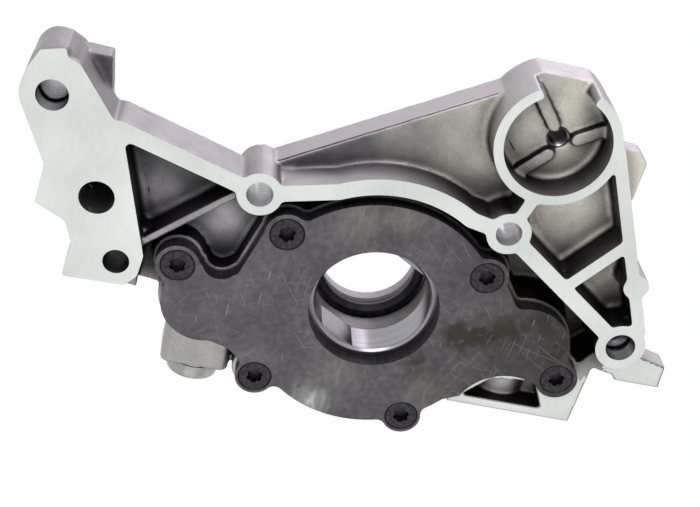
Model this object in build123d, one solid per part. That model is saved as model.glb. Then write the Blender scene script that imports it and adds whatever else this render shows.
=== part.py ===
from build123d import *
import os
from math import atan2, cos, degrees, hypot, pi, radians, sin

# Engine oil pump for the front of a cylinder block, driven straight by the crankshaft.
# X runs to the right and Z up with the sump rail level. Y runs along the crankshaft,
# from the face that bolts to the block (y = 0) into the casting.
# All sizes are millimetres.

os.makedirs("parts", exist_ok=True)

# Rotors: a gerotor pair on the crankshaft nose
inner_lobes = 8
eccentricity = 2.8
lobe_radius = 7.7
lobe_pitch_radius = 33.0
outer_rotor_wall = 3.55
rotor_width = 13.0
drive_bore_radius = 18.8
drive_flat_distance = 17.6
drive_flat_angle = 62.0
rotor_bore_chamfer = 0.8
mesh_gap = 0.05
rotor_side_gap = 0.05
outer_rotor_gap = 0.08

# Cover plate and its screws
cover_thickness = 5.3
cover_hole_radius = 21.3
cover_upper_margin = 5.8
cover_lower_margin = 6.2
cover_blend_radius = 3.0
upper_ear_radius = 7.1
lower_ear_radius = 6.5
screw_radius = 3.0
screw_head_radius = 5.3
screw_head_height = 2.9
countersink_gap = 0.4
thread_gap = 0.05
screw_length = 14.0
screw_hole_runout = 1.0
screw_recess_radius = 2.7
screw_recess_depth = 2.4

# Cover screws: two out at the port ends, (x, z), and four round the rotors
ear_left = (-64.8, 3.0)
ear_right = (66.6, -13.9)
ear_top_left_angle = 144.4
ear_top_left_gap = 6.43
ear_top_right_angle = 33.6
ear_top_right_gap = 4.88
ear_bottom_right_angle = -62.05
ear_bottom_right_gap = 6.25
ear_bottom_left_angle = -137.0
ear_bottom_left_gap = 10.07

# Port chambers beside the rotors, (x, z)
outlet_centre = (-54.0, -9.0)
outlet_cover_radius = 14.0
inlet_centre = (52.0, -5.0)
inlet_cover_radius = 15.8
cover_notch_centre = (-51.5, 6.6)
cover_notch_radius = 5.8
cover_hollow_centre = (52.5, -33.0)
cover_hollow_radius = 17.4
outlet_chamber_centre = (-54.0, -10.5)
outlet_chamber_radius = 8.0
outlet_chamber_floor = 11.0
inlet_chamber_centre = (50.5, -3.0)
inlet_chamber_radius = 9.5
port_inner_radius = 23.2
port_outer_radius = 30.2
port_depth = 4.5
port_half_angle = 66.0
inlet_passage_width = 13.0
outlet_passage_width = 8.0

# Bolt bosses on the block face, (x, z)
boss_top_left = (-110.8, 52.1)
boss_gallery = (-93.1, 21.4)
boss_low_left = (-83.9, 0.4)
boss_mid_left = (-44.5, 33.0)
boss_mid_right = (35.0, 36.0)
boss_low_right = (83.6, 2.8)
bolt_hole_radius = 4.25
arm_nose_radius = 9.8
arm_shoulder = (-90.0, 45.6)
gallery_port_radius = 5.6
dowel_radius = 5.0
dowel_depth = 7.0
mid_boss_radius = 7.2
low_right_boss_radius = 8.4
top_left_boss_radius = 7.8
top_left_boss_back = 35.0
mid_boss_back = 22.0

# Casting levels along Y
floor_level = 12.5
floor_thickness = 4.0
wall_back = 25.0
body_floor = 7.5
side_hollow_floor = 20.0
stock_size = 400.0
hub_back = 37.0
rib_width = 5.4
thin_rib_width = 4.0
wall_width = 4.0
crank_rib_left = 118.0
crank_rib_right = 60.0
side_rib_top = (60.2, 70.5)
side_rib_bottom = (88.0, 9.5)
side_pad = (81.2, 25.8)
side_pad_radius = 4.2
cross_rib_low = (59.5, 22.3)
cross_rib_high = (74.0, 40.7)
pocket_corner_radius = 2.4
pocket_floor_radius = 2.0
body_rim = 1.2
brace_low = (-76.6, 8.4)
brace_high = (-50.5, 31.5)
brace_width = 2.4
brace_crest = 1.4

# Round pocket at the upper right
well_centre = (41.2, 68.3)
well_radius = 16.9
well_wall = 3.1
well_gap_start = 67.0
well_gap_end = 122.0
well_hole = (44.0, 66.3)
well_hole_radius = 3.4
well_boss_radius = 5.6
well_boss_back = 28.0
well_roof = 86.4
well_rib_width = 4.2
well_rib_height = 3.4
well_rib_angles = (15.0, 125.0, 247.0)

# Crankshaft seal in the front hub
seal_bore_radius = 25.0
seal_depth = 9.0
hub_radius = 30.5
nose_bore_radius = 19.6
seal_shell = 1.2
seal_lip_radius = 16.0
dust_lip_radius = 16.6
garter_radius = 1.1
garter_pitch_radius = 19.95
garter_depth = 2.4
seal_inset = 0.6
seal_flange_radius = 18.4
lip_root_radius = 20.8
lip_throat_radius = 17.6

# Relief valve, upright at the left of the rotors
valve_x = -52.6
valve_y = 18.0
valve_bore_radius = 5.0
valve_slide_gap = 0.03
valve_seat_z = -11.0
valve_mouth_radius = 3.8
valve_boss_width = 23.0
valve_boss_front = 8.0
valve_boss_back = 27.5
plunger_length = 12.0
plunger_wall = 1.3
plunger_crown = 2.0
plunger_travel = 6.0
plunger_end_gap = 2.8
spring_wire_radius = 0.6
spring_radius = 2.9
spring_turns = 7.5
plug_thread_radius = 6.0
plug_thread_length = 7.0
plug_collar_radius = 8.6
plug_collar_height = 4.6
plug_socket_width = 6.0
plug_socket_depth = 5.5
washer_thickness = 1.2
drain_radius = 2.0
drain_below_seat = 4.1

# Delivery gallery from the rotors' outlet to the block
junction = (-53.0, -5.5)
junction_radius = 4.6
junction_wall = 4.4
gallery_y = 22.0
gallery_radius = 4.5
gallery_tube_radius = 7.5
gallery_overrun = 12.0
gallery_cup_radius = 5.4
gallery_cup_length = 5.0
gallery_cup_wall = 1.0

# Sump rail and suction port at the lower right
rail_z = -33.0
rail_thickness = 5.0
rail_left_x = 34.0
rail_right_x = 77.8
rail_back = 30.0
suction_place = (52.0, 20.5)
suction_radius = 7.0
suction_wall = 3.5
suction_boss_radius = 5.5
suction_boss_top = -22.0
suction_screw_spacing = 17.0
suction_screw_radius = 2.5
suction_screw_depth = 9.0
rail_recess_floor = 14.0


def between(sketch, near, far):
    """Solid from a sketch drawn in the X-Z plane, from one depth to another."""
    return extrude(Plane.XZ.offset(-near) * sketch, amount=far - near, dir=(0, 1, 0))


def disc(place, radius):
    return Pos(place[0], place[1]) * Circle(radius)


def bar(start, end, width):
    """Straight rib with round ends between two places."""
    run = hypot(end[0] - start[0], end[1] - start[1])
    turn = degrees(atan2(end[1] - start[1], end[0] - start[0]))
    return Pos(*start) * Rot(0, 0, turn) * Pos(run / 2, 0) * SlotCenterToCenter(run, width)


def outline(*points):
    return make_face(Polyline(*points, close=True))


def polar(radius, angle, centre=(0, 0)):
    return (
        centre[0] + radius * cos(radians(angle)),
        centre[1] + radius * sin(radians(angle)),
    )


def sector(centre, inner, outer, start, end):
    """Ring segment round a centre between two angles."""
    reach = 3 * outer
    steps = 6
    fan = [centre]
    for i in range(steps + 1):
        fan.append(polar(reach, start + (end - start) * i / steps, centre))
    return (disc(centre, outer) - disc(centre, inner)) & outline(*fan)


def blended(sketch, radius):
    """Round every inside corner of a sketch."""
    return offset(offset(sketch, amount=radius), amount=-radius)


def eased(sketch, radius):
    """Round every outside corner of a sketch."""
    return offset(offset(sketch, amount=-radius), amount=radius)


def hole(place, near, far, radius):
    return between(disc(place, radius), near, far)


def pocket(face, near, far, floor_radius):
    """Tool for a cast pocket, with rounded corners and a rounded floor."""
    tool = between(face, near, far)
    bottom = tool.faces().sort_by(Axis.Y)[-1]
    return fillet(bottom.edges(), floor_radius)


def countersink(place, mouth_y, mouth_radius, throat_radius, depth):
    plane = Plane(origin=(place[0], mouth_y + depth / 2, place[1]), z_dir=(0, 1, 0))
    return plane * Cone(mouth_radius, throat_radius, depth)


# Levels and places that follow from the sizes above
seat = cover_thickness
rotor_floor = seat + rotor_width + 2 * rotor_side_gap
port_floor = rotor_floor + port_depth
body_back = rotor_floor + body_floor
outer_axis = (0, -eccentricity)
outer_valley_radius = lobe_pitch_radius - lobe_radius + 2 * eccentricity + mesh_gap
outer_rotor_radius = outer_valley_radius + outer_rotor_wall
cover_upper_radius = outer_rotor_radius - eccentricity + cover_upper_margin
cover_lower_radius = outer_rotor_radius + cover_lower_margin
ear_top_left = polar(outer_rotor_radius + ear_top_left_gap, ear_top_left_angle, outer_axis)
ear_top_right = polar(outer_rotor_radius + ear_top_right_gap, ear_top_right_angle, outer_axis)
ear_bottom_right = polar(outer_rotor_radius + ear_bottom_right_gap, ear_bottom_right_angle, outer_axis)
ear_bottom_left = polar(outer_rotor_radius + ear_bottom_left_gap, ear_bottom_left_angle, outer_axis)
upper_ears = (ear_left, ear_top_left, ear_top_right, ear_right)
lower_ears = (ear_bottom_right, ear_bottom_left)
screw_places = upper_ears + lower_ears
crank_rib_inner = cover_lower_radius + 0.8
crank_rib_mid = crank_rib_inner + rib_width / 2
wall_corner = (-43.0, 35.0)
wall_top = (24.0, 75.4)
web_back = floor_level + floor_thickness
screw_head_y = countersink_gap / 2
screw_hole_end = screw_head_y + screw_length + screw_hole_runout
drain_z = valve_seat_z - drain_below_seat
plug_top_z = valve_seat_z - plunger_length - plunger_travel - plunger_end_gap
valve_boss_bottom = plug_top_z - plug_thread_length
spring_top = valve_seat_z - plunger_crown
gallery_run = hypot(junction[0] - boss_gallery[0], junction[1] - boss_gallery[1])
gallery_length = gallery_overrun + gallery_run


def cover_outline():
    """Flat outline of the cover plate: rotor discs, port bulges and six screw ears."""
    shape = disc((0, 0), cover_upper_radius) + disc(outer_axis, cover_lower_radius)
    shape += disc(outlet_centre, outlet_cover_radius)
    shape += disc(inlet_centre, inlet_cover_radius)
    shape += outline(outlet_centre, (-50.0, -22.4), (-43.5, -24.0), ear_bottom_left, (0, 0))
    shape += outline(ear_left, outlet_centre, (-30.0, 0.0), ear_top_left, (-40.6, 20.0), (-46.5, 1.0))
    shape += outline(ear_top_right, (39.8, 18.0), (46.0, 9.6), inlet_centre, (0, 0))
    shape += outline(ear_right, (72.4, -10.5), (67.8, -5.0), inlet_centre, (50.0, -20.0))
    shape += outline((0, 0), inlet_centre, (50.0, -20.0), (29.5, -30.0))
    for place in upper_ears:
        shape += disc(place, upper_ear_radius)
    for place in lower_ears:
        shape += disc(place, lower_ear_radius)
    notch_top = (cover_notch_centre[0], cover_notch_centre[1] + 30.0)
    shape -= bar(cover_notch_centre, notch_top, 2 * cover_notch_radius)
    shape -= disc(cover_hollow_centre, cover_hollow_radius)
    shape += disc(ear_right, upper_ear_radius)
    return blended(shape, cover_blend_radius)


def gerotor_inner(gap):
    """Inner rotor profile: the curve that stays in touch with the outer rotor's round lobes."""
    points = []
    steps = inner_lobes * 14
    for i in range(steps):
        a = 2 * pi * i / steps
        b = (inner_lobes + 1) * a
        x = lobe_pitch_radius * cos(a) + eccentricity * cos(b)
        y = lobe_pitch_radius * sin(a) + eccentricity * sin(b)
        dx = -lobe_pitch_radius * sin(a) - eccentricity * (inner_lobes + 1) * sin(b)
        dy = lobe_pitch_radius * cos(a) + eccentricity * (inner_lobes + 1) * cos(b)
        reach = (lobe_radius + gap) / hypot(dx, dy)
        points.append((x - dy * reach, y + dx * reach))
    return make_face(Spline(*points, periodic=True))


def gerotor_opening():
    """Inside shape of the outer rotor, about its own axis, with one round lobe pointing down."""
    shape = Circle(outer_valley_radius)
    for i in range(inner_lobes + 1):
        angle = -90 + 360 * i / (inner_lobes + 1)
        shape -= disc(polar(lobe_pitch_radius, angle), lobe_radius)
    return shape


def make_inner_rotor():
    flats = Rot(0, 0, drive_flat_angle) * Rectangle(2 * drive_flat_distance, 4 * drive_bore_radius)
    drive_bore = Circle(drive_bore_radius) & flats
    near = seat + rotor_side_gap
    far = near + rotor_width
    rotor = between(gerotor_inner(mesh_gap) - drive_bore, near, far)
    mouth = drive_bore_radius + rotor_bore_chamfer
    return rotor - countersink((0, 0), near, mouth, drive_bore_radius, rotor_bore_chamfer)


def make_outer_rotor():
    near = seat + rotor_side_gap
    ring = Circle(outer_rotor_radius) - gerotor_opening()
    return between(Pos(*outer_axis) * ring, near, near + rotor_width)


def make_cover():
    plate = between(cover_outline() - Circle(cover_hole_radius), 0, seat)
    mouth = screw_head_radius + countersink_gap
    throat = screw_radius + countersink_gap
    for place in screw_places:
        plate -= hole(place, 0, seat, throat)
        plate -= countersink(place, 0, mouth, throat, screw_head_height)
    return plate


def six_lobe_recess(radius):
    """Star-shaped key recess of a screw head."""
    shape = Circle(radius)
    scallop_radius = 0.3 * radius
    scallop_pitch_radius = 1.12 * radius
    for i in range(6):
        shape -= disc(polar(scallop_pitch_radius, 60 * i), scallop_radius)
    return shape


def make_screws():
    screws = []
    for place in screw_places:
        shank = hole(place, screw_head_y, screw_head_y + screw_length, screw_radius)
        head = countersink(place, screw_head_y, screw_head_radius, screw_radius, screw_head_height)
        recess = Pos(*place) * six_lobe_recess(screw_recess_radius)
        key = between(recess, screw_head_y, screw_head_y + screw_recess_depth)
        screws.append(shank + head - key)
    return Compound(children=screws)


def land_outline():
    """Machined land that bolts to the block: left arm, ribs, bosses and the round pocket's rim."""
    arm = outline(
        (-116.0, 65.5), (-108.6, 67.6), (-108.0, 65.0), (-104.0, 63.4), (-92.6, 48.9),
        (-84.5, 43.0), (-87.4, 40.4), (-75.8, 4.0), (-76.6, -3.5), (-80.0, -7.5), (-99.9, -8.2),
        (-98.4, 4.0), (-101.5, 11.5), (-111.4, 15.9), (-110.2, 29.3), (-119.6, 47.9), (-119.6, 58.0),
    )
    arm += disc(boss_top_left, arm_nose_radius)
    shape = arm + bar(arm_shoulder, boss_mid_left, rib_width)
    shape += sector((0, 0), crank_rib_inner, crank_rib_inner + rib_width, crank_rib_right, crank_rib_left)
    shape += bar(boss_mid_left, polar(crank_rib_mid, crank_rib_left), rib_width)
    shape += bar(boss_mid_right, polar(crank_rib_mid, crank_rib_right), rib_width)
    shape += bar(boss_mid_right, boss_low_right, rib_width)
    shape += bar(boss_mid_right, (well_centre[0] - 1.9, well_centre[1] - well_radius - 1.0), thin_rib_width)
    shape += sector(well_centre, well_radius, well_radius + well_wall, well_gap_end - 360, well_gap_start)
    shape += bar(side_rib_top, side_rib_bottom, thin_rib_width)
    shape += bar(cross_rib_low, cross_rib_high, thin_rib_width)
    shape += disc(side_pad, side_pad_radius)
    shape += disc(boss_mid_left, mid_boss_radius) + disc(boss_mid_right, mid_boss_radius)
    shape += disc(boss_low_right, low_right_boss_radius)
    return shape


def body_outline():
    """Rotor housing under the cover, a little larger than the cover all round."""
    return offset(cover_outline(), amount=body_rim)


def seat_pad():
    """Land level with the cover's seat, between the last screw and the sump rail."""
    return outline(
        (rail_left_x, rail_z), (rail_right_x, rail_z), (79.0, -10.0), (86.0, -11.4), boss_low_right,
        (77.5, -4.0), (73.0, -10.5), (64.0, -4.0), (30.0, -20.0),
    )


def side_hollow():
    """Deep cast hollow between the inlet side of the body and the lowest right boss."""
    return outline((0, 0), boss_mid_right, boss_low_right, (77.5, -4.0), (73.0, -10.5), (60.0, -14.0))


def rail_recess():
    """Shallow recess in the rail's front, round the suction tube."""
    return outline((46.6, -21.3), (61.4, -19.4), (66.6, -29.6), (38.4, -29.6))


def web_outline():
    """Everything the cast floor covers, from the left arm to the right side rib."""
    return outline(
        (-98.0, -8.0), (-76.5, -10.5), (-67.0, -11.5), (0, -20.0), (70.0, -14.0),
        boss_low_right, side_rib_bottom, side_rib_top, well_centre,
        wall_top, wall_corner, (-50.0, 34.0), arm_shoulder,
    )


def upright(place, radius, low, high):
    """Cylinder along Z at a place given as (x, y)."""
    return Pos(place[0], place[1], (low + high) / 2) * Cylinder(radius, high - low)


def gallery_rod(radius, length):
    """Cylinder along the delivery gallery, from its drilled end towards the junction."""
    start = Vector(boss_gallery[0], gallery_y, boss_gallery[1])
    along = (Vector(junction[0], gallery_y, junction[1]) - start).normalized()
    plane = Plane(origin=start - along * gallery_overrun, z_dir=along)
    return plane * Cylinder(radius, length, align=(Align.CENTER, Align.CENTER, Align.MIN))


def casting_blank(land):
    """Casting before its pockets: the plate, the deeper walls, the housings and the bosses."""
    below_roof = Pos(0, well_roof - stock_size / 2) * Rectangle(stock_size, stock_size)
    dome = disc(well_centre, well_radius + well_wall) & below_roof
    top_wall = bar(wall_corner, wall_top, wall_width) + bar(wall_corner, boss_mid_left, wall_width)
    floor = web_outline() + disc(well_centre, well_radius + well_wall / 2) + seat_pad()
    blank = between(floor + land, 0, web_back)
    blank += between(body_outline(), 0, body_back)
    blank += between(dome - disc(well_centre, well_radius), floor_level, wall_back)
    blank += between(top_wall, floor_level, wall_back)
    blank += between(side_hollow(), floor_level, side_hollow_floor + floor_thickness)
    blank += valve_housing()
    blank += suction_rail()
    blank += hole((0, 0), floor_level, hub_back, hub_radius)
    blank += hole(junction, floor_level, gallery_y + gallery_tube_radius, junction_radius + junction_wall)
    blank += gallery_rod(gallery_tube_radius, gallery_length)
    for place in (boss_mid_left, boss_mid_right, boss_low_left):
        blank += hole(place, floor_level, mid_boss_back, mid_boss_radius)
    blank += hole(boss_low_right, floor_level, mid_boss_back, low_right_boss_radius)
    blank += hole(boss_top_left, floor_level, top_left_boss_back, top_left_boss_radius)
    blank += hole(well_hole, floor_level, well_boss_back, well_boss_radius)
    return blank + lugs()


def cast_pockets(land):
    """Tools for the hollows between the ribs, down to the cast floor."""
    body = body_outline()
    brace = bar(brace_low, brace_high, brace_width)
    well = disc(well_centre, well_radius)
    tools = [between(Rectangle(stock_size, stock_size) - land, 0, seat)]
    framed_regions = (
        outline(brace_low, brace_high, boss_mid_left, arm_shoulder, (-95.0, 30.0)) - brace,
        outline(boss_mid_left, (-60.0, 60.0), (10.0, 110.0), well_centre, boss_mid_right, (0, 44.0)),
        outline(boss_mid_right, well_centre, side_rib_top, side_rib_bottom, boss_low_right),
    )
    for region in framed_regions:
        for face in (region - land - disc(well_centre, well_radius + 1)).faces():
            shaped = eased(face, pocket_corner_radius)
            tools.append(pocket(shaped, 0, floor_level, pocket_floor_radius))
    tools.append(pocket(well, 0, floor_level, pocket_floor_radius))
    well_middle = well_radius / 2
    gap_edge = sector(well_centre, well_middle, 2 * well_radius, well_gap_start, well_gap_end)
    tools.append(between(gap_edge, 0, floor_level))
    moat = outline(
        brace_low, brace_high, boss_mid_left, (0, 60.0), boss_mid_right, (0, 0), (-76.0, -16.0)
    )
    tools.append(between(moat - land - body - brace, 0, floor_level))
    tools.append(between(side_hollow() - land - body, 0, side_hollow_floor))
    suction_tube = upright(suction_place, suction_radius + suction_wall, rail_z, inlet_chamber_centre[1])
    tools.append(between(rail_recess(), seat, rail_recess_floor) - suction_tube)
    return tools


def valve_housing():
    """Upright block at the lower left that holds the relief valve."""
    deep = valve_boss_back - valve_boss_front
    tall = valve_seat_z - valve_boss_bottom
    place = Pos(valve_x, (valve_boss_front + valve_boss_back) / 2, valve_boss_bottom + tall / 2)
    block = place * Box(valve_boss_width, deep, tall)
    return fillet(block.edges().filter_by(Axis.Z), 3.0)


def suction_rail():
    """Sump rail with the suction pipe's seat, at the lower right."""
    long = rail_right_x - rail_left_x
    centre_x = (rail_right_x + rail_left_x) / 2
    deep = rail_back - floor_level
    middle = Pos(centre_x, floor_level + deep / 2, rail_z + rail_thickness / 2)
    rail = middle * Box(long, deep, rail_thickness)
    rail += upright(suction_place, suction_radius + suction_wall, rail_z, inlet_chamber_centre[1])
    for side in (-1, 1):
        place = (suction_place[0] + side * suction_screw_spacing, suction_place[1])
        rail += upright(place, suction_boss_radius, rail_z, suction_boss_top)
    return rail


def case_passages():
    """Everything bored, drilled or cored out of the case, front of the rotors and below them."""
    cuts = [hole(outer_axis, seat, rotor_floor, outer_rotor_radius + outer_rotor_gap)]
    cuts.append(hole((0, 0), seat, hub_back, nose_bore_radius))
    cuts.append(hole((0, 0), hub_back - seal_depth, hub_back, seal_bore_radius))
    for middle in (0, 180):
        start = middle - port_half_angle
        end = middle + port_half_angle
        port = sector((0, 0), port_inner_radius, port_outer_radius, start, end)
        cuts.append(between(port, rotor_floor, port_floor))
    port_mid = (port_inner_radius + port_outer_radius) / 2
    inlet_passage = bar((port_mid, inlet_chamber_centre[1]), inlet_chamber_centre, inlet_passage_width)
    outlet_passage = bar((-port_mid, junction[1]), junction, outlet_passage_width)
    cuts.append(between(inlet_passage, rotor_floor, port_floor))
    cuts.append(between(outlet_passage, rotor_floor, port_floor))
    cuts.append(hole(inlet_chamber_centre, seat, port_floor, inlet_chamber_radius))
    cuts.append(hole(outlet_chamber_centre, seat, outlet_chamber_floor, outlet_chamber_radius))
    cuts.append(hole(junction, outlet_chamber_floor, gallery_y + gallery_radius, junction_radius))
    cuts.append(gallery_rod(gallery_radius, gallery_length))
    cuts.append(gallery_rod(gallery_cup_radius, gallery_cup_length))
    cuts.append(hole(boss_gallery, 0, gallery_y, gallery_port_radius))
    cuts.append(upright((valve_x, valve_y), valve_mouth_radius, valve_seat_z, junction[1]))
    cuts.append(upright((valve_x, valve_y), valve_bore_radius, valve_boss_bottom, valve_seat_z))
    thread_radius = plug_thread_radius + thread_gap
    thread_top = plug_top_z + screw_hole_runout
    cuts.append(upright((valve_x, valve_y), thread_radius, valve_boss_bottom, thread_top))
    drain = Pos(valve_x - valve_boss_width / 2, valve_y, drain_z) * Rot(0, 90, 0)
    cuts.append(drain * Cylinder(drain_radius, valve_boss_width))
    cuts.append(upright(suction_place, suction_radius, rail_z, inlet_chamber_centre[1]))
    for side in (-1, 1):
        place = (suction_place[0] + side * suction_screw_spacing, suction_place[1])
        cuts.append(upright(place, suction_screw_radius, rail_z, rail_z + suction_screw_depth))
    for place in screw_places:
        cuts.append(hole(place, seat, screw_hole_end, screw_radius + thread_gap))
    return cuts


def bolt_holes():
    cuts = []
    for place in (boss_low_left, boss_mid_left, boss_mid_right, boss_top_left, boss_low_right):
        cuts.append(hole(place, 0, top_left_boss_back, bolt_hole_radius))
    for place in (boss_top_left, boss_low_right):
        cuts.append(hole(place, 0, dowel_depth, dowel_radius))
    cuts.append(hole(well_hole, floor_level, well_boss_back, well_hole_radius))
    return cuts


def lugs():
    """Small cast lugs at the left arm's top, beside the round pocket and at the lower right."""
    gusset = outline((-106.5, 62.6), (-95.8, 62.4), (-93.6, 46.0), (-104.0, 52.0))
    shape = between(gusset, 14.0, 22.0)
    side = outline((61.0, 68.0), (71.6, 67.0), (74.8, 63.6), (74.0, 46.0), (66.0, 52.0))
    shape += between(side, 12.0, 19.0)
    foot = outline((84.0, -8.0), (88.0, -13.2), (104.0, -13.2), (103.6, -4.7), (92.0, -2.0))
    shape += between(foot, seat, 14.0)
    return shape


def make_case():
    land = land_outline()
    case = casting_blank(land) - (cast_pockets(land) + case_passages() + bolt_holes())
    brace = bar(brace_low, brace_high, brace_width)
    case += between(brace, brace_crest, floor_level + 1)
    for angle in well_rib_angles:
        inner = polar(well_boss_radius, angle, well_hole)
        outer = polar(well_radius - well_rib_width / 4, angle, well_centre)
        rib = bar(inner, outer, well_rib_width)
        case += between(rib, floor_level - well_rib_height, floor_level + 1)
    return case


def spun(profile):
    """Ring about the crankshaft from a profile of (radius, y) points."""
    face = make_face(Polyline(*[(radius, y) for radius, y in profile], close=True))
    return revolve(face, Axis.Y)


seal_front = hub_back - seal_depth + seal_inset
shell_inner = seal_bore_radius - seal_shell
lip_root = hub_back - 2 * seal_shell


def make_seal_case():
    inside = hub_back - seal_shell
    return spun([
        (seal_bore_radius, seal_front), (seal_bore_radius, hub_back), (seal_flange_radius, hub_back),
        (seal_flange_radius, inside), (shell_inner, inside), (shell_inner, seal_front),
    ])


def make_seal_inner_ring():
    back = hub_back - seal_shell
    wall = shell_inner - seal_shell
    flange = seal_flange_radius + seal_inset
    return spun([
        (shell_inner, seal_front), (shell_inner, back), (flange, back),
        (flange, lip_root), (wall, lip_root), (wall, seal_front),
    ])


def make_seal_lip():
    """Rubber lip: held by the steel rings, with its edge towards the rotors."""
    groove = seal_front + garter_depth
    return spun([
        (lip_root_radius, lip_root), (lip_root_radius, lip_root - 1.6), (18.3, groove + 0.2),
        (18.9, groove - 0.5), (19.4, seal_front + 0.4), (lip_throat_radius, seal_front),
        (seal_lip_radius, seal_front + 1.6), (17.0, lip_root - 1.4), (lip_throat_radius, lip_root),
    ])


def make_dust_lip():
    """Thin felt-edged lip on the outer side, held by the same steel flange."""
    return spun([
        (seal_flange_radius, lip_root), (seal_flange_radius, hub_back + 1.4),
        (dust_lip_radius, hub_back + 2.4), (dust_lip_radius, lip_root + 0.6),
        (lip_throat_radius, lip_root),
    ])


def make_garter_spring():
    ring = Torus(garter_pitch_radius, garter_radius)
    return Pos(0, seal_front + garter_depth, 0) * Rot(90, 0, 0) * ring


def make_plunger():
    """Cup-shaped relief valve, crown up, with the spring inside it."""
    radius = valve_bore_radius - valve_slide_gap
    cup = upright((valve_x, valve_y), radius, valve_seat_z - plunger_length, valve_seat_z)
    well = upright(
        (valve_x, valve_y), radius - plunger_wall,
        valve_seat_z - plunger_length, valve_seat_z - plunger_crown,
    )
    return cup - well


def make_spring():
    """Coil spring between the plug and the plunger's crown, with end turns ground flat."""
    height = spring_top - plug_top_z
    rise = height - 2 * spring_wire_radius
    path = Helix(pitch=rise / spring_turns, height=rise, radius=spring_radius)
    wire = sweep(Plane(origin=path @ 0, z_dir=path % 0) * Circle(spring_wire_radius), path)
    return Pos(valve_x, valve_y, plug_top_z + spring_wire_radius) * wire


def make_plug():
    """Relief plug: thread, collar and a hexagon socket from below."""
    place = (valve_x, valve_y)
    collar_top = valve_boss_bottom - washer_thickness
    collar_bottom = collar_top - plug_collar_height
    plug = upright(place, plug_thread_radius, collar_top, plug_top_z)
    plug += upright(place, plug_collar_radius, collar_bottom, collar_top)
    hexagon = RegularPolygon(plug_socket_width / 2, 6, major_radius=False)
    socket = Pos(valve_x, valve_y, collar_bottom) * hexagon
    return plug - extrude(socket, amount=plug_socket_depth)


def make_washer():
    place = (valve_x, valve_y)
    low = valve_boss_bottom - washer_thickness
    ring = upright(place, plug_collar_radius - 0.3, low, valve_boss_bottom)
    return ring - upright(place, plug_thread_radius, low, valve_boss_bottom)


def make_gallery_cup():
    """Press-in cup, open outwards, that shuts the drilled end of the gallery."""
    inside = gallery_rod(gallery_cup_radius - gallery_cup_wall, gallery_cup_length - gallery_cup_wall)
    return gallery_rod(gallery_cup_radius, gallery_cup_length) - inside


def save(shape, name):
    export_step(shape, f"parts/{name}.step")


save(make_cover(), "rotor_cover")
save(make_inner_rotor(), "inner_rotor")
save(make_outer_rotor(), "outer_rotor")
save(make_screws(), "cover_screws")
save(make_case(), "pump_case")
save(make_seal_case(), "crank_seal_case")
save(make_seal_inner_ring(), "crank_seal_inner_ring")
save(make_seal_lip(), "crank_seal_lip")
save(make_dust_lip(), "crank_seal_dust_lip")
save(make_garter_spring(), "crank_seal_spring")
save(make_plunger(), "relief_plunger")
save(make_spring(), "relief_spring")
save(make_plug(), "relief_plug")
save(make_washer(), "relief_plug_washer")
save(make_gallery_cup(), "gallery_plug")
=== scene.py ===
from math import atan2, cos, hypot, pi, radians, sin

import bmesh
import bpy
from mathutils import Matrix, Vector, noise


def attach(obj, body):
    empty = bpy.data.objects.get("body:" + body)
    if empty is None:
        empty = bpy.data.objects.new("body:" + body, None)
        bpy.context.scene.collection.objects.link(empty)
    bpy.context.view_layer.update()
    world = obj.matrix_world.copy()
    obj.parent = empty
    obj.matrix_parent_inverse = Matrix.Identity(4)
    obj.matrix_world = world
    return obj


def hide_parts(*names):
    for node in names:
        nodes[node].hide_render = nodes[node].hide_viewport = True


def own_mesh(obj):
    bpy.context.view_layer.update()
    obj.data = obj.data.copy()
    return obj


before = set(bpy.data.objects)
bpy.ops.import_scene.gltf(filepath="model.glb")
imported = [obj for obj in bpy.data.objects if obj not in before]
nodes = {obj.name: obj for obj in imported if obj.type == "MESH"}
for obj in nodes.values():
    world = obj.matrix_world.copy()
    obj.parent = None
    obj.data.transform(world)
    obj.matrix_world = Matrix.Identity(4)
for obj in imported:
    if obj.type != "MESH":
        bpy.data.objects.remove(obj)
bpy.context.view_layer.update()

# The picture
# The pump lies on white paper and is lit softly from above and in front. The camera
# looks down on the side that bolts to the engine block, from the left.
scene = bpy.context.scene
lens = bpy.data.cameras.new("camera")
lens.lens = 72
lens.sensor_width = 36
camera = bpy.data.objects.new("camera", lens)
right = Vector((0.97144, -0.04369, 0.23322))
up = Vector((-0.18361, 0.48414, 0.85551))
forward = Vector((0.15029, 0.87390, -0.46229))
camera_place = Matrix((right, up, -forward)).transposed().to_4x4()
camera_place.translation = Vector((-0.07897, -0.3866, 0.2232))
camera.matrix_world = camera_place
scene.collection.objects.link(camera)
scene.camera = camera
scene.render.resolution_x = 700
scene.render.resolution_y = 507
scene.view_settings.view_transform = "Standard"

# The room is greenish grey below, dark in the middle and lavender above. Only light that
# falls on the pump comes from it: the camera, and metal that mirrors, see white paper.
world = bpy.data.worlds.new("white paper and soft room")
world.use_nodes = True
scene.world = world
sky = world.node_tree
sky.nodes.clear()
room = sky.nodes.new("ShaderNodeBackground")
room.inputs["Strength"].default_value = 0.55
paper = sky.nodes.new("ShaderNodeBackground")
paper.inputs["Color"].default_value = (1, 1, 1, 1)
paper.inputs["Strength"].default_value = 1.0
direction = sky.nodes.new("ShaderNodeTexCoord")
split = sky.nodes.new("ShaderNodeSeparateXYZ")
sky.links.new(direction.outputs["Generated"], split.inputs["Vector"])
height = sky.nodes.new("ShaderNodeMapRange")
height.inputs["From Min"].default_value = -1
height.inputs["From Max"].default_value = 1
sky.links.new(split.outputs["Z"], height.inputs["Value"])
bands = sky.nodes.new("ShaderNodeValToRGB")
bands.color_ramp.elements[0].color = (0.80, 0.84, 0.82, 1)
bands.color_ramp.elements[1].color = (0.74, 0.68, 0.76, 1)
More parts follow.
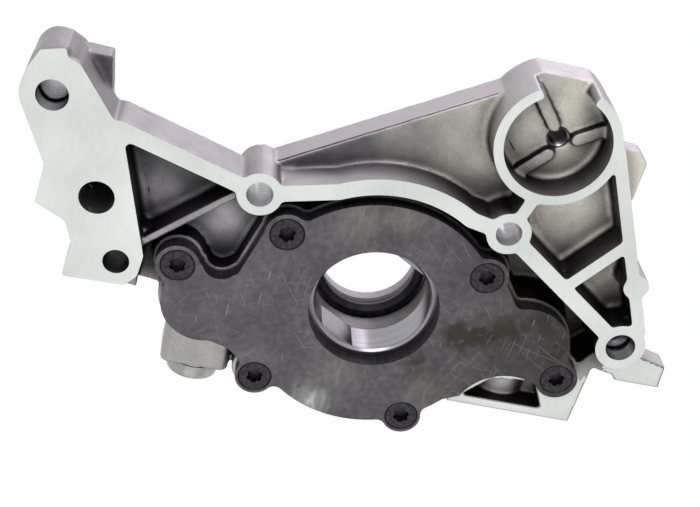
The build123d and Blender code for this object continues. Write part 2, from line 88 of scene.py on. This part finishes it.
middle_band = bands.color_ramp.elements.new(0.52)
middle_band.color = (0.42, 0.41, 0.43, 1)
sky.links.new(height.outputs["Result"], bands.inputs["Fac"])
sky.links.new(bands.outputs["Color"], room.inputs["Color"])
rays = sky.nodes.new("ShaderNodeLightPath")
sees_paper = rays.outputs["Is Camera Ray"]
for kind in ("Is Glossy Ray", "Is Transmission Ray"):
    either = sky.nodes.new("ShaderNodeMath")
    either.operation = "MAXIMUM"
    sky.links.new(sees_paper, either.inputs[0])
    sky.links.new(rays.outputs[kind], either.inputs[1])
    sees_paper = either.outputs["Value"]
choose = sky.nodes.new("ShaderNodeMixShader")
sky.links.new(sees_paper, choose.inputs["Fac"])
sky.links.new(room.outputs["Background"], choose.inputs[1])
sky.links.new(paper.outputs["Background"], choose.inputs[2])
world_out = sky.nodes.new("ShaderNodeOutputWorld")
sky.links.new(choose.outputs["Shader"], world_out.inputs["Surface"])

lit_spot = Vector((0, 0, 0.02))
for name, spot, size, power, colour in (
    ("window above", (-0.15, -0.35, 0.75), 0.5, 3.0, (1.0, 0.98, 1.0)),
    ("paper glow below", (0.05, -0.75, -0.30), 0.9, 0.8, (0.97, 1.0, 0.98)),
    ("light behind", (0.2, 0.5, 0.6), 0.5, 2.0, (1.0, 0.94, 1.0)),
):
    lamp = bpy.data.lights.new(name, "AREA")
    lamp.size = size
    lamp.energy = power
    lamp.color = colour
    light = bpy.data.objects.new(name, lamp)
    light.location = spot
    aim = (lit_spot - light.location).normalized()
    light.rotation_euler = aim.to_track_quat("-Z", "Y").to_euler()
    scene.collection.objects.link(light)

# The casting
# One die-cast aluminium piece that bolts to the front of the block. Its land is milled
# flat, its bores are reamed, and everything else keeps the grainy skin of the mould.
white = (1.0, 1.0, 1.0)
black = (0.0, 0.0, 0.0)


def grey(level):
    return (level, level, level)


def finish_of(name, colour, metallic, roughness):
    """A material with its shader, ready for the grain and the marks of one finish."""
    material = bpy.data.materials.new(name)
    material.use_nodes = True
    shader = material.node_tree.nodes["Principled BSDF"]
    shader.inputs["Base Color"].default_value = (*colour, 1)
    shader.inputs["Metallic"].default_value = metallic
    shader.inputs["Roughness"].default_value = roughness
    return material


def grain(material, size, detail=4, stretch=(1, 1, 1), turn=(0, 0, 0)):
    """Noise fixed to the piece, with cells of about that size in metres."""
    tree = material.node_tree
    where = tree.nodes.new("ShaderNodeTexCoord")
    fit = tree.nodes.new("ShaderNodeMapping")
    fit.inputs["Rotation"].default_value = turn
    fit.inputs["Scale"].default_value = stretch
    cells = tree.nodes.new("ShaderNodeTexNoise")
    cells.inputs["Scale"].default_value = 1 / size
    cells.inputs["Detail"].default_value = detail
    tree.links.new(where.outputs["Object"], fit.inputs["Vector"])
    tree.links.new(fit.outputs["Vector"], cells.inputs["Vector"])
    return cells.outputs["Fac"]


def levels(material, source, low, high, dark, light):
    """Colour ramp from one level of a texture to another."""
    tree = material.node_tree
    ramp = tree.nodes.new("ShaderNodeValToRGB")
    ramp.color_ramp.elements[0].position = low
    ramp.color_ramp.elements[1].position = high
    ramp.color_ramp.elements[0].color = (*dark, 1)
    ramp.color_ramp.elements[1].color = (*light, 1)
    tree.links.new(source, ramp.inputs["Fac"])
    return ramp.outputs["Color"]


def mixed(material, share, first, second, way="MIX"):
    """Two colours mixed by a texture or by a fixed share."""
    tree = material.node_tree
    mix = tree.nodes.new("ShaderNodeMixRGB")
    mix.blend_type = way
    for socket, value in (("Fac", share), ("Color1", first), ("Color2", second)):
        if isinstance(value, float):
            mix.inputs[socket].default_value = value
        elif isinstance(value, tuple):
            mix.inputs[socket].default_value = (*value, 1)
        else:
            tree.links.new(value, mix.inputs[socket])
    return mix.outputs["Color"]


def toned(material, colour, *tones):
    """A colour multiplied by each tone in turn."""
    for tone in tones:
        colour = mixed(material, 1.0, colour, tone, "MULTIPLY")
    return colour


def worked_out(material, operation, *values):
    """One step of arithmetic on textures and numbers."""
    tree = material.node_tree
    step = tree.nodes.new("ShaderNodeMath")
    step.operation = operation
    for socket, value in zip(step.inputs, values):
        if isinstance(value, (int, float)):
            socket.default_value = value
        else:
            tree.links.new(value, socket)
    return step.outputs["Value"]


def fade(material, source, start, end):
    """0 where the source is at start, 1 where it is at end."""
    tree = material.node_tree
    span = tree.nodes.new("ShaderNodeMapRange")
    span.inputs["From Min"].default_value = start
    span.inputs["From Max"].default_value = end
    tree.links.new(source, span.inputs["Value"])
    return span.outputs["Result"]


def place_on(material):
    """X, Y and Z on the piece, in metres."""
    tree = material.node_tree
    where = tree.nodes.new("ShaderNodeTexCoord")
    axes = tree.nodes.new("ShaderNodeSeparateXYZ")
    tree.links.new(where.outputs["Object"], axes.inputs["Vector"])
    return tuple(axes.outputs)


def facing_of(material):
    """X, Y and Z of the way that the surface faces."""
    tree = material.node_tree
    surface_side = tree.nodes.new("ShaderNodeNewGeometry")
    axes = tree.nodes.new("ShaderNodeSeparateXYZ")
    tree.links.new(surface_side.outputs["Normal"], axes.inputs["Vector"])
    return tuple(axes.outputs)


def distance_from(material, spot):
    """Distance in metres from a spot on the piece."""
    tree = material.node_tree
    where = tree.nodes.new("ShaderNodeTexCoord")
    gap = tree.nodes.new("ShaderNodeVectorMath")
    gap.operation = "DISTANCE"
    gap.inputs[1].default_value = spot
    tree.links.new(where.outputs["Object"], gap.inputs[0])
    return gap.outputs["Value"]


def corner_shade(material, reach, dark, low=0.2, high=0.95):
    """Painted shade that gathers in corners and deep pockets."""
    tree = material.node_tree
    crowd = tree.nodes.new("ShaderNodeAmbientOcclusion")
    crowd.inputs["Distance"].default_value = reach
    crowd.samples = 10
    return levels(material, crowd.outputs["AO"], low, high, dark, white)


def colour_in(material, colour, socket="Base Color"):
    """Wires a finished texture to the shader."""
    shader = material.node_tree.nodes["Principled BSDF"]
    material.node_tree.links.new(colour, shader.inputs[socket])


def bumps(material, rounding, *layers):
    """Rounded edges, then bumps of (texture, depth in metres, share) over one another."""
    tree = material.node_tree
    normal = None
    if rounding:
        edge = tree.nodes.new("ShaderNodeBevel")
        edge.samples = 6
        edge.inputs["Radius"].default_value = rounding
        normal = edge.outputs["Normal"]
    for texture, depth, share in layers:
        bump = tree.nodes.new("ShaderNodeBump")
        bump.inputs["Strength"].default_value = share
        bump.inputs["Distance"].default_value = depth
        tree.links.new(texture, bump.inputs["Height"])
        if normal:
            tree.links.new(normal, bump.inputs["Normal"])
        normal = bump.outputs["Normal"]
    tree.links.new(normal, tree.nodes["Principled BSDF"].inputs["Normal"])


def new_piece(name, mesh, *materials):
    """A made piece in the scene, with its finishes."""
    piece = bpy.data.objects.new(name, mesh)
    for material in materials:
        piece.data.materials.append(material)
    scene.collection.objects.link(piece)
    return piece


# Mould skin: grey cloud and fine specks, with painted lavender light where it faces up, darker on
# the left.
mould_skin = finish_of("cast aluminium skin", (0.55, 0.53, 0.54), 0.75, 0.5)
cloud = levels(
    mould_skin, grain(mould_skin, 0.02, 6), 0.3, 0.7, (0.34, 0.33, 0.32), (0.52, 0.505, 0.485)
)
speck = levels(mould_skin, grain(mould_skin, 0.0006, 3), 0.35, 0.65, grey(0.86), white)
skin = toned(mould_skin, cloud, speck)
place_x, place_y, place_z = place_on(mould_skin)
side_x, side_y, side_z = facing_of(mould_skin)
left_to_right = fade(mould_skin, place_x, -0.050, 0.050)
painted_top_light_mask = levels(mould_skin, side_z, 0.45, 0.8, black, white)
painted_top_light = levels(
    mould_skin, left_to_right, 0.02, 0.16, (0.33, 0.302, 0.335), (0.50, 0.462, 0.50)
)
skin = mixed(mould_skin, toned(mould_skin, painted_top_light_mask, grey(0.75)), skin, painted_top_light)

# Pocket floors: darker on the left and paler on the right, with painted shade where they lie
# deepest and two painted sheen spots on the left. The thin rim beside the cover has painted
# light on the left and painted shade on the right.
floor_side = levels(
    mould_skin, worked_out(mould_skin, "MULTIPLY", side_y, -1), 0.35, 0.9, black, white
)
wander = mixed(mould_skin, 0.3, left_to_right, grain(mould_skin, 0.014, 3))
floor_gradient_and_painted_light = levels(mould_skin, wander, 0.38, 0.80, (0.34, 0.34, 0.37), (1.62, 1.61, 1.47))
painted_deep_shade = levels(mould_skin, place_y, 0.0175, 0.0195, white, (0.95, 0.93, 0.95))
painted_rim_light_and_shade = levels(mould_skin, left_to_right, 0.35, 0.70, grey(2.3), (0.10, 0.095, 0.10))
below_rim = levels(mould_skin, place_y, 0.0065, 0.0090, black, white)
floor_gradient_and_painted_light = toned(mould_skin, floor_gradient_and_painted_light, painted_deep_shade, mixed(mould_skin, below_rim, painted_rim_light_and_shade, white))
floor_y = 0.0125
# Painted sheen spots on the left floors, as x, z, reach and gain.
for x, z, reach, gain in ((-0.0530, 0.0165, 0.013, 3.6), (-0.0765, 0.0190, 0.012, 2.8)):
    from_sheen_spot = distance_from(mould_skin, (x, floor_y, z))
    painted_sheen_spot = levels(mould_skin, from_sheen_spot, 0.001, reach, grey(gain), white)
    floor_gradient_and_painted_light = toned(mould_skin, floor_gradient_and_painted_light, painted_sheen_spot)
above_rail = fade(mould_skin, place_z, -0.014, -0.006)
in_pockets = toned(mould_skin, floor_side, above_rail)
floor_tone = mixed(mould_skin, in_pockets, white, floor_gradient_and_painted_light)

# Walls: painted shade where they are shut in, face down or face right, and painted black shade in
# the corners.
painted_enclosed_shade = corner_shade(mould_skin, 0.030, (0.06, 0.054, 0.064), 0.42, 0.86)
painted_wall_shade = mixed(mould_skin, floor_side, painted_enclosed_shade, white)
facing_down = worked_out(mould_skin, "MULTIPLY", side_z, -1)
painted_underside_shade = levels(mould_skin, facing_down, 0.2, 0.6, white, (0.58, 0.55, 0.58))
painted_right_side_shade = levels(mould_skin, side_x, 0.25, 0.6, white, (0.68, 0.655, 0.68))
painted_pocket_corner_shade = corner_shade(mould_skin, 0.012, (0.008, 0.007, 0.010), 0.26, 0.84)
painted_rail_corner_shade = corner_shade(mould_skin, 0.008, (0.16, 0.15, 0.16), 0.15, 0.70)
corners = mixed(mould_skin, above_rail, painted_rail_corner_shade, painted_pocket_corner_shade)
skin = toned(mould_skin, skin, painted_wall_shade, floor_tone, painted_underside_shade, painted_right_side_shade, corners)
colour_in(mould_skin, skin)
dull = levels(mould_skin, grain(mould_skin, 0.006, 5), 0.3, 0.7, grey(0.42), grey(0.62))
colour_in(mould_skin, dull, "Roughness")
bumps(
    mould_skin, 0,
    (grain(mould_skin, 0.0005, 4), 0.00016, 0.6),
    (grain(mould_skin, 0.004, 3), 0.0005, 0.25),
)

milled = finish_of("milled land", (0.80, 0.83, 0.80), 0.85, 0.34)
cutter_marks = grain(milled, 0.0009, 2, (1, 1, 0.12), (0, 0.9, 0))
sheen = levels(milled, grain(milled, 0.03, 4), 0.3, 0.7, (0.56, 0.59, 0.565), (0.70, 0.73, 0.70))
swirl = levels(milled, cutter_marks, 0.35, 0.65, grey(0.965), white)
colour_in(milled, toned(milled, sheen, swirl, corner_shade(milled, 0.006, grey(0.3))))
bumps(milled, 0, (cutter_marks, 0.00002, 0.25))

reamed = finish_of("reamed bore", (0.52, 0.52, 0.53), 0.95, 0.28)
round_bore = (0.05, 1, 0.05)
rings = levels(
    reamed, grain(reamed, 0.0007, 2, round_bore), 0.3, 0.7, (0.50, 0.49, 0.51), (0.80, 0.79, 0.81)
)
colour_in(reamed, toned(reamed, rings, corner_shade(reamed, 0.007, grey(0.05))))
bumps(reamed, 0, (grain(reamed, 0.0006, 2, round_bore), 0.00004, 0.4))

# Raw casting: the solid stands proud of the land by what the mill takes off.
mill_depth = 0.0015
weld_gap = 2e-6
on_land = 1e-5
rough = bmesh.new()
rough.from_mesh(nodes["pump_case"].data)
bmesh.ops.remove_doubles(rough, verts=rough.verts, dist=weld_gap)
for vertex in rough.verts:
    if vertex.co.y < on_land:
        vertex.co.y = -mill_depth

# Low side wall of the hollow at the right, as short straight runs.
hollow_wall = ((0.0715, -0.0125), (0.0790, -0.0050), (0.0850, 0.0010))
wall_y = 0.0190
wall_depth = 0.0080
wall_thickness = 0.0026
wall_overlap = 0.002
for (x0, z0), (x1, z1) in zip(hollow_wall, hollow_wall[1:]):
    run = hypot(x1 - x0, z1 - z0)
    wall_place = Matrix.Translation(((x0 + x1) / 2, wall_y, (z0 + z1) / 2))
    wall_place = wall_place @ Matrix.Rotation(-atan2(z1 - z0, x1 - x0), 4, "Y")
    wall_size = Matrix.Diagonal((run + wall_overlap, wall_depth, wall_thickness, 1))
    bmesh.ops.create_cube(rough, size=1, matrix=wall_place @ wall_size)

# Round nose at the end of the left arm, from just behind the land to the arm's back.
nose_x, nose_z, nose_radius = -0.1113, 0.0603, 0.0073
nose_front, nose_back = 0.0022, 0.0175
nose_start, nose_sweep, nose_steps = -15, 210, 36
nose_ends = []
for y in (nose_front, nose_back):
    end = []
    for step in range(nose_steps + 1):
        angle = radians(nose_start + nose_sweep * step / nose_steps)
        corner = (nose_x + nose_radius * cos(angle), y, nose_z + nose_radius * sin(angle))
        end.append(rough.verts.new(corner))
    nose_ends.append(end)
near_end, far_end = nose_ends
nose_faces = [rough.faces.new(near_end), rough.faces.new(far_end[::-1])]
for step in range(nose_steps + 1):
    after = (step + 1) % (nose_steps + 1)
    strip = (near_end[after], near_end[step], far_end[step], far_end[after])
    nose_faces.append(rough.faces.new(strip))
bmesh.ops.recalc_face_normals(rough, faces=nose_faces)

# Cast edges: an even skin over everything, worn round as a mould leaves it.
skin_cell = 0.00055
rough_mesh = bpy.data.meshes.new("casting before milling")
rough.to_mesh(rough_mesh)
rough.free()
blank = bpy.data.objects.new("casting before milling", rough_mesh)
scene.collection.objects.link(blank)
even_skin = blank.modifiers.new("even skin", "REMESH")
even_skin.mode = "VOXEL"
even_skin.voxel_size = skin_cell
mould_radii = blank.modifiers.new("mould radii", "SMOOTH")
mould_radii.factor = 0.5
mould_radii.iterations = 7
fewer_faces = blank.modifiers.new("fewer faces", "DECIMATE")
fewer_faces.ratio = 0.45
softened = blank.evaluated_get(bpy.context.evaluated_depsgraph_get())
casting_mesh = bpy.data.meshes.new_from_object(softened)
bpy.data.objects.remove(blank)

# Uneven skin: faint waves, counted to the metre, on everything well behind the seat.
seat_y = 0.0053
below_seat = 0.001
wave_height = 0.00009
wide_waves, small_waves = 260, 700
surface = bmesh.new()
surface.from_mesh(casting_mesh)
surface.normal_update()
for vertex in surface.verts:
    spot = vertex.co
    if spot.y > seat_y + below_seat:
        wave = noise.noise(spot * wide_waves) + 0.5 * noise.noise(spot * small_waves)
        vertex.co += vertex.normal * wave * wave_height

# Milling: everything in front of the block face comes off, which leaves a crisp land.
everything = surface.verts[:] + surface.edges[:] + surface.faces[:]
cut = bmesh.ops.bisect_plane(
    surface, geom=everything, plane_co=(0, 0, 0), plane_no=(0, -1, 0), clear_outer=True
)
rim_edges = [item for item in cut["geom_cut"] if isinstance(item, bmesh.types.BMEdge)]
filled = bmesh.ops.triangle_fill(surface, use_beauty=True, edges=rim_edges, normal=(0, -1, 0))
land_faces = set(item for item in filled["geom"] if isinstance(item, bmesh.types.BMFace))
for face in land_faces:
    if face.normal.y > 0:
        face.normal_flip()

# Machined faces: the land, the sump rail and lug at the height of the seat, and the bores,
# each given as x, z and radius.
milled_slot, reamed_slot = 1, 2
facing_block, along_bore = -0.97, 0.3
machining_error = 0.0003
rail_top_z = -0.014
lug_left_x = 0.083
bolt_radius = 0.00425
sleeve_radius = 0.0050
dowel_radius = 0.0056
thread_radius = 0.0034
thread_x, thread_z = 0.0440, 0.0663
bores = (
    (-0.1108, 0.0521, sleeve_radius), (-0.1108, 0.0521, bolt_radius),
    (0.0836, 0.0028, sleeve_radius), (0.0836, 0.0028, bolt_radius),
    (-0.0445, 0.0330, bolt_radius), (0.0350, 0.0360, bolt_radius),
    (-0.0931, 0.0214, dowel_radius), (thread_x, thread_z, thread_radius),
)
for face in surface.faces:
    if face in land_faces:
        face.smooth = False
        face.material_index = milled_slot
        continue
    face.smooth = True
    centre = face.calc_center_median()
    on_rail = centre.z < rail_top_z or centre.x > lug_left_x
    at_seat = abs(centre.y - seat_y) < machining_error and face.normal.y < facing_block
    if at_seat and on_rail:
        face.material_index = milled_slot
    elif abs(face.normal.y) < along_bore:
        for x, z, radius in bores:
            if abs(hypot(centre.x - x, centre.z - z) - radius) < machining_error:
                face.material_index = reamed_slot
for edge in surface.edges:
    if len(edge.link_faces) == 2:
        one, other = edge.link_faces
        edge.smooth = (one in land_faces) == (other in land_faces)
surface.to_mesh(casting_mesh)
surface.free()
casting = new_piece("casting", casting_mesh, mould_skin, milled, reamed)
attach(casting, "case")
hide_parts("pump_case")

# The parting line
# A fine fin of aluminium that squeezed out between the mould halves, along the long wall
# from the middle bolt hole to the dome. It is one metal with the casting.
fin_start = Vector((-0.0400, 0.0138, 0.0368))
fin_end = Vector((0.0225, 0.0138, 0.0745))
fin_lift = 0.0021
fin_low_radius = 0.00034
fin_high_radius = 0.00026
along = fin_end - fin_start
outward = Vector((-along.z, 0, along.x)).normalized()
fin_place = Matrix.Translation((fin_start + fin_end) / 2 + outward * fin_lift)
fin_place = fin_place @ along.to_track_quat("Z", "Y").to_matrix().to_4x4()
fin_shape = bmesh.new()
bmesh.ops.create_cone(
    fin_shape, cap_ends=True, segments=12, radius1=fin_low_radius, radius2=fin_high_radius,
    depth=along.length, matrix=fin_place,
)
fin_mesh = bpy.data.meshes.new("parting_line")
fin_shape.to_mesh(fin_mesh)
fin_shape.free()
fin = new_piece("parting_line", fin_mesh, mould_skin)
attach(fin, "case")

# The thread in the round pocket
# A screw thread is tapped in the boss in the middle of the round pocket. Its ridge winds
# down the hole in the casting's own metal.
thread_start = 0.0129
thread_turns = 11
thread_pitch = 0.00125
thread_depth = 0.00045
crest_radius = thread_radius - thread_depth
root_half, crest_half = 0.42, 0.06
ridge_profile = (
    (thread_radius, -root_half), (crest_radius, -crest_half),
    (crest_radius, crest_half), (thread_radius, root_half),
)
across_ridge = len(ridge_profile)
per_turn = 36
ridge = []
ridge_faces = []
for step in range(thread_turns * per_turn + 1):
    angle = 2 * pi * step / per_turn
    y = thread_start + thread_pitch * step / per_turn
    for radius, shift in ridge_profile:
        x = thread_x + radius * cos(angle)
        z = thread_z + radius * sin(angle)
        ridge.append((x, y + shift * thread_pitch, z))
    if step:
        before = across_ridge * (step - 1)
        for low in range(before, before + across_ridge - 1):
            ridge_faces.append((low, low + 1, low + across_ridge + 1, low + across_ridge))
thread_mesh = bpy.data.meshes.new("pocket_thread_ridge")
thread_mesh.from_pydata(ridge, [], ridge_faces)
thread = new_piece("pocket_thread_ridge", thread_mesh, reamed)
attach(thread, "case")

# The cover plate
# A thick flat steel plate, ground and darkened, that shuts the rotor chamber. Its face
# is stained by old oil and scratched from handling. Six countersunk screws hold it.
plate = finish_of("dark cover steel", (0.15, 0.14, 0.15), 0.75, 0.42)
tone = levels(
    plate, grain(plate, 0.018, 6), 0.3, 0.72, (0.076, 0.069, 0.074), (0.135, 0.124, 0.131)
)
mottle = levels(plate, grain(plate, 0.0022, 5), 0.38, 0.62, (0.78, 0.76, 0.78), white)
plate_x = place_on(plate)[0]
oily_right = levels(plate, plate_x, 0.012, 0.060, (1.18, 1.16, 1.17), (0.62, 0.60, 0.58))
steel = toned(plate, tone, mottle, oily_right)

# Pools of old oil, as x, z and reach.
oil_edge = levels(plate, grain(plate, 0.005, 6), 0.40, 0.50, grey(0.15), white)
for x, z, reach in (
    (0.0300, -0.0034, 0.0085), (0.0380, -0.0010, 0.0075), (0.0470, 0.0020, 0.0070),
    (0.0570, 0.0070, 0.0075), (0.0655, -0.0030, 0.0075), (0.0190, -0.0166, 0.0055),
):
    from_pool = distance_from(plate, (x, 0, z))
    pool = levels(plate, from_pool, reach * 0.45, reach, grey(0.85), black)
    steel = mixed(plate, toned(plate, pool, oil_edge), steel, (0.030, 0.025, 0.018))

# Short straight scratches, as their slant and how rare they are.
for turn, rare in ((0.6, 0.74), (-0.7, 0.75)):
    fine = grain(plate, 0.0010, 1, (1, 1, 0.07), (0, turn, 0))
    scratch = levels(plate, fine, rare, rare + 0.03, black, grey(0.7))
    steel = mixed(plate, scratch, steel, (0.30, 0.28, 0.30))

# Long curved scratches, as the middle of their arcs, their spacing and their length.
scratch_width = 0.00022
for middle, spacing, length in (
    ((0, 0, 0), 0.0031, 0.009), ((0.11, 0, 0.09), 0.0052, 0.011),
    ((-0.13, 0, 0.05), 0.0067, 0.008), ((0.02, 0, -0.16), 0.0060, 0.010),
):
    from_middle = distance_from(plate, middle)
    arcs = worked_out(plate, "MULTIPLY_ADD", from_middle, 1 / spacing, grain(plate, 0.020, 1))
    cycle = worked_out(plate, "FRACT", arcs)
    thin = levels(plate, cycle, 0.0, scratch_width / spacing, white, black)
    broken = levels(plate, grain(plate, length, 3), 0.54, 0.62, black, grey(0.6))
    steel = mixed(plate, toned(plate, thin, broken), steel, (0.33, 0.315, 0.30))

# Rubbed spots, as x, z, reach, strength and colour.
slanted = grain(plate, 0.0016, 3, (1, 1, 0.25), (0, 0.7, 0))
rub_marks = mixed(plate, 0.55, white, levels(plate, slanted, 0.46, 0.66, black, white))
for x, z, reach, strength, colour in (
    (-0.0125, -0.0395, 0.0085, 1.0, (0.52, 0.56, 0.52)),
    (-0.0120, 0.0305, 0.0100, 0.55, (0.30, 0.30, 0.24)),
    (0.0020, 0.0345, 0.0080, 0.55, (0.30, 0.30, 0.24)),
    (0.0235, -0.0270, 0.0090, 0.50, (0.28, 0.28, 0.23)),
    (-0.0060, -0.0255, 0.0100, 0.45, (0.26, 0.27, 0.24)),
):
    from_spot = distance_from(plate, (x, 0, z))
    rubbed = levels(plate, from_spot, 0.0, reach, grey(strength), black)
    steel = mixed(plate, toned(plate, rubbed, rub_marks), steel, colour)
colour_in(plate, toned(plate, steel, corner_shade(plate, 0.004, grey(0.15))))
polish = levels(plate, grain(plate, 0.008, 5), 0.3, 0.7, grey(0.34), grey(0.55))
colour_in(plate, polish, "Roughness")
bumps(
    plate, 0.0005,
    (grain(plate, 0.0007, 3), 0.00005, 0.5),
    (grain(plate, 0.006, 2), 0.0002, 0.15),
)

sawn = finish_of("dark cut edge", (0.03, 0.027, 0.03), 0.6, 0.5)
across_edge = (1, 0.15, 1)
strips = levels(
    sawn, grain(sawn, 0.0009, 3, across_edge), 0.3, 0.7, (0.018, 0.016, 0.018), (0.055, 0.05, 0.055)
)
colour_in(sawn, strips)
bumps(sawn, 0.0004, (grain(sawn, 0.0008, 3, across_edge), 0.00004, 0.5))


def dress(node_name, *materials):
    """Gives a CAD node its finishes."""
    slots = nodes[node_name].data.materials
    slots.clear()
    for material in materials:
        slots.append(material)


dress("rotor_cover", plate, sawn)
edge_slot = 1
ground_face = 0.9
for face in nodes["rotor_cover"].data.polygons:
    if abs(face.normal.y) < ground_face:
        face.material_index = edge_slot

# The cover screws
# Six steel countersunk screws with a six-lobed key recess, black oxide on steel, their
# heads a hair below the plate.
oxide = finish_of("black oxide steel", (0.03, 0.027, 0.03), 0.6, 0.42)
worn = levels(oxide, grain(oxide, 0.0012, 4), 0.4, 0.75, (0.018, 0.016, 0.019), (0.06, 0.054, 0.06))
colour_in(oxide, toned(oxide, worn, corner_shade(oxide, 0.003, grey(0.04))))
bumps(oxide, 0.0003, (grain(oxide, 0.0005, 3), 0.00004, 0.5))
dress("cover_screws", oxide)

# The rotors
# Two sintered steel rotors with ground faces. The inner one has a bore with two flats
# that the crankshaft drives, and its bore shows through the cover.
ground = finish_of("ground rotor steel", (0.5, 0.49, 0.52), 1.0, 0.24)
grinding = grain(ground, 0.0008, 2, (0.04, 1, 0.04))
lay = levels(ground, grinding, 0.3, 0.7, (0.28, 0.27, 0.30), (0.36, 0.35, 0.39))
colour_in(ground, toned(ground, lay, corner_shade(ground, 0.006, grey(0.12))))
bumps(ground, 0.0004, (grinding, 0.00002, 0.5))
for name in ("inner_rotor", "outer_rotor", "relief_plunger"):
    dress(name, ground)

# The crankshaft seal
# A pressed steel ring in the front hub that holds a black rubber lip, a garter spring
# round it and a pale dust lip on the outer side.
rubber = finish_of("black seal rubber", (0.03, 0.028, 0.03), 0.0, 0.38)
smear = levels(
    rubber, grain(rubber, 0.002, 4), 0.35, 0.7, (0.018, 0.017, 0.018), (0.05, 0.047, 0.05)
)
colour_in(rubber, smear)
bumps(rubber, 0.0004, (grain(rubber, 0.0006, 3), 0.00005, 0.5))
pale = finish_of("pale dust lip", (0.80, 0.78, 0.84), 0.0, 0.5)
powder = levels(pale, grain(pale, 0.0015, 4), 0.35, 0.7, (0.72, 0.70, 0.76), (0.88, 0.86, 0.90))
colour_in(pale, powder)
bumps(pale, 0.0004, (grain(pale, 0.0007, 3), 0.00005, 0.5))
pressed = finish_of("pressed sheet steel", (0.42, 0.42, 0.44), 0.95, 0.32)
draw_marks = grain(pressed, 0.0015, 3, (1, 0.2, 1))
draw = levels(pressed, draw_marks, 0.3, 0.7, (0.32, 0.32, 0.34), (0.5, 0.5, 0.52))
colour_in(pressed, draw)
bumps(pressed, 0.0005, (grain(pressed, 0.0009, 3), 0.00003, 0.5))
dress("crank_seal_lip", rubber)
dress("crank_seal_dust_lip", pale)
for name in ("crank_seal_case", "crank_seal_inner_ring", "crank_seal_spring"):
    dress(name, pressed)

# The relief valve and the plugs
# A steel plug with a soft washer screws in from below and holds the spring and plunger
# of the relief valve. A small pressed cup shuts the drilled end of the gallery.
zinc = finish_of("zinc plated steel", (0.56, 0.56, 0.55), 0.95, 0.3)
bloom = levels(zinc, grain(zinc, 0.003, 5), 0.3, 0.7, (0.26, 0.27, 0.26), (0.42, 0.43, 0.42))
colour_in(zinc, toned(zinc, bloom, corner_shade(zinc, 0.004, grey(0.15))))
bumps(zinc, 0.0004, (grain(zinc, 0.0008, 3), 0.00003, 0.5))
dress("relief_plug", zinc)
dress("gallery_plug", zinc)
soft = finish_of("soft aluminium washer", grey(0.7), 0.9, 0.4)
colour_in(soft, levels(soft, grain(soft, 0.001, 4), 0.3, 0.7, grey(0.6), grey(0.78)))
bumps(soft, 0.0003, (grain(soft, 0.0008, 3), 0.00003, 0.5))
dress("relief_plug_washer", soft)

# The relief spring
# A coil of drawn steel wire that stands on the plug and pushes the plunger up.
wire = finish_of("drawn spring wire", (0.4, 0.4, 0.42), 1.0, 0.3)
drawn = levels(wire, grain(wire, 0.0008, 3), 0.3, 0.7, (0.3, 0.3, 0.32), (0.5, 0.5, 0.52))
colour_in(wire, drawn)
bumps(wire, 0.0002, (grain(wire, 0.0006, 2), 0.00002, 0.5))
coil_mesh = nodes["relief_spring"].data.copy()
coil_mesh.materials.clear()
coil = new_piece("relief_coil", coil_mesh, wire)
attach(coil, "case")
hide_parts("relief_spring")
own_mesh(coil)
